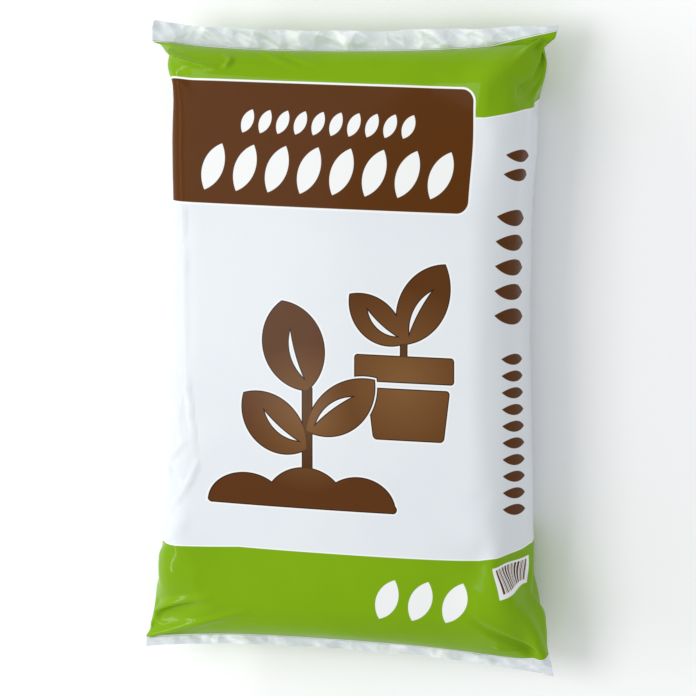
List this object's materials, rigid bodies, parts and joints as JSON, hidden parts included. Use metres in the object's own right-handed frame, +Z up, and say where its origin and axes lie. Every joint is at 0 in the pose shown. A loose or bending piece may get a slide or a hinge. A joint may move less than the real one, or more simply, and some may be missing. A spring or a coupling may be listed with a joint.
{
  "type": "compost bag",
  "caption": "Sealed plastic film bag filled with potting soil, welded flat across both ends, with a green, brown and white printed face.",
  "frame": {"origin": "on the ground under the middle of the bag, which lies on its back", "axes": "+Z up out of the printed face, +Y along the bag towards its head, +X to the right of the printed face"},
  "size_m": [0.4, 0.6, 0.115],
  "materials": {
    "printed_film": "satin polyethylene film, white with printed green bands and a brown label"
  },
  "bodies": {
    "root": {"filled_bag": "printed_film"}
  },
  "joints": []
}
